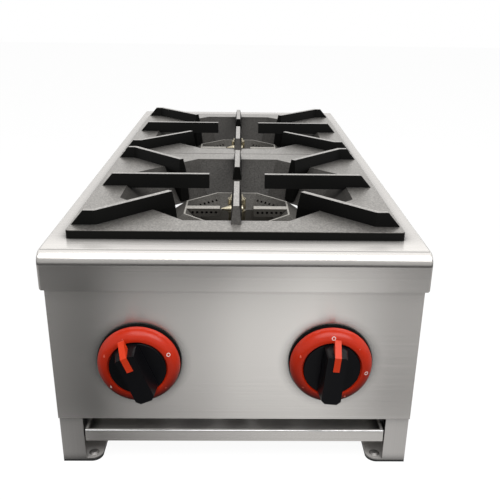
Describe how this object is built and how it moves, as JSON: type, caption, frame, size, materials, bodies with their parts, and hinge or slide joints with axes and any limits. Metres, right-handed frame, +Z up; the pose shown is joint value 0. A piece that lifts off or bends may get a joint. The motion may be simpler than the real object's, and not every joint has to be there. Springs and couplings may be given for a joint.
{
  "type": "countertop gas range",
  "caption": "Countertop gas range: deep steel body with octagonal ring burners under lift-off cast grates, red-ringed knobs and a drip tray.",
  "frame": {"origin": "on the floor plane under the middle of the whole box, knobs and gas inlet included", "axes": "+Z up, +Y to the rear where the gas inlet is, knobs at -Y, +X to the right seen from the front"},
  "size_m": [0.302, 0.6688, 0.2195],
  "materials": {
    "stainless": "brushed stainless sheet",
    "zinc_steel": "zinc-coated steel",
    "grate_iron": "black enamelled casting with worn grey tops",
    "burner_iron": "bare grey casting",
    "brass": "machined",
    "pipe_steel": "black pipe",
    "tube_aluminium": "drawn tube",
    "pad_rubber": "matt",
    "screw_steel": "bright",
    "knob_black": "gloss black",
    "dial_red": "gloss red",
    "pointer_orange": "gloss orange-red"
  },
  "bodies": {
    "body": {"left_side_panel": "stainless", "right_side_panel": "stainless", "front_panel": "stainless", "rear_panel": "stainless", "top_deck": "stainless", "rear_panel_screws": "screw_steel", "pad_rivets": "screw_steel", "bonnet_screws": "screw_steel", "left_tray_runner": "zinc_steel", "right_tray_runner": "zinc_steel", "manifold_brackets": "zinc_steel", "left_foot_pad": "pad_rubber", "right_foot_pad": "pad_rubber", "gas_manifold": "pipe_steel", "gas_inlet": "brass", "pilot_valves": "brass", "tube_nuts": "brass", "front_gas_tube": "tube_aluminium", "rear_gas_tube": "tube_aluminium", "front_pilot_tube": "tube_aluminium", "rear_pilot_tube": "tube_aluminium", "front_burner": "burner_iron", "front_burner_rail": "zinc_steel", "front_injector_bracket": "zinc_steel", "front_injector": "brass", "front_pilot_post": "brass", "front_pilot_nozzle": "brass", "rear_burner": "burner_iron", "rear_burner_rail": "zinc_steel", "rear_injector_bracket": "zinc_steel", "rear_injector": "brass", "rear_pilot_post": "brass", "rear_pilot_nozzle": "brass", "left_valve_body": "brass", "left_valve_bonnet": "zinc_steel", "left_dial_base": "knob_black", "left_dial_ring": "dial_red", "right_valve_body": "brass", "right_valve_bonnet": "zinc_steel", "right_dial_base": "knob_black", "right_dial_ring": "dial_red"},
    "front_grate": {"front_grate": "grate_iron"},
    "rear_grate": {"rear_grate": "grate_iron"},
    "drip_tray": {"drip_tray": "stainless"},
    "front_air_shutter": {"front_air_shutter": "zinc_steel"},
    "rear_air_shutter": {"rear_air_shutter": "zinc_steel"},
    "left_plug": {"left_valve_plug": "brass"},
    "left_knob": {"left_valve_stem": "brass", "left_knob": "knob_black", "left_knob_pointer": "pointer_orange"},
    "right_plug": {"right_valve_plug": "brass"},
    "right_knob": {"right_valve_stem": "brass", "right_knob": "knob_black", "right_knob_pointer": "pointer_orange"}
  },
  "joints": [
    {"name": "front_grate_lift", "type": "slide", "parent": "body", "child": "front_grate", "axis": [0, 0, 1], "range_m": [0, 0.12]},
    {"name": "rear_grate_lift", "type": "slide", "parent": "body", "child": "rear_grate", "axis": [0, 0, 1], "range_m": [0, 0.12]},
    {"name": "drip_tray_slide", "type": "slide", "parent": "body", "child": "drip_tray", "axis": [0, -1, 0], "range_m": [0, 0.45]},
    {"name": "left_knob_turn", "type": "hinge", "parent": "body", "child": "left_plug", "pos_m": [-0.078, -0.2874, 0.103], "axis": [0, -1, 0], "range_deg": [-27, 153]},
    {"name": "left_knob_push", "type": "slide", "parent": "left_plug", "child": "left_knob", "axis": [0, 1, 0], "range_m": [0, 0.0035], "stiffness_N_per_m": 900, "springref_m": -0.002},
    {"name": "right_knob_turn", "type": "hinge", "parent": "body", "child": "right_plug", "pos_m": [0.078, -0.2874, 0.103], "axis": [0, -1, 0], "range_deg": [0, 180]},
    {"name": "right_knob_push", "type": "slide", "parent": "right_plug", "child": "right_knob", "axis": [0, 1, 0], "range_m": [0, 0.0035], "stiffness_N_per_m": 900, "springref_m": -0.002},
    {"name": "front_air_shutter_turn", "type": "hinge", "parent": "body", "child": "front_air_shutter", "pos_m": [0, -0.2533, 0.1527], "axis": [0, 1, 0], "range_deg": [0, 50]},
    {"name": "rear_air_shutter_turn", "type": "hinge", "parent": "body", "child": "rear_air_shutter", "pos_m": [0, 0.0147, 0.1527], "axis": [0, 1, 0], "range_deg": [0, 50]}
  ]
}
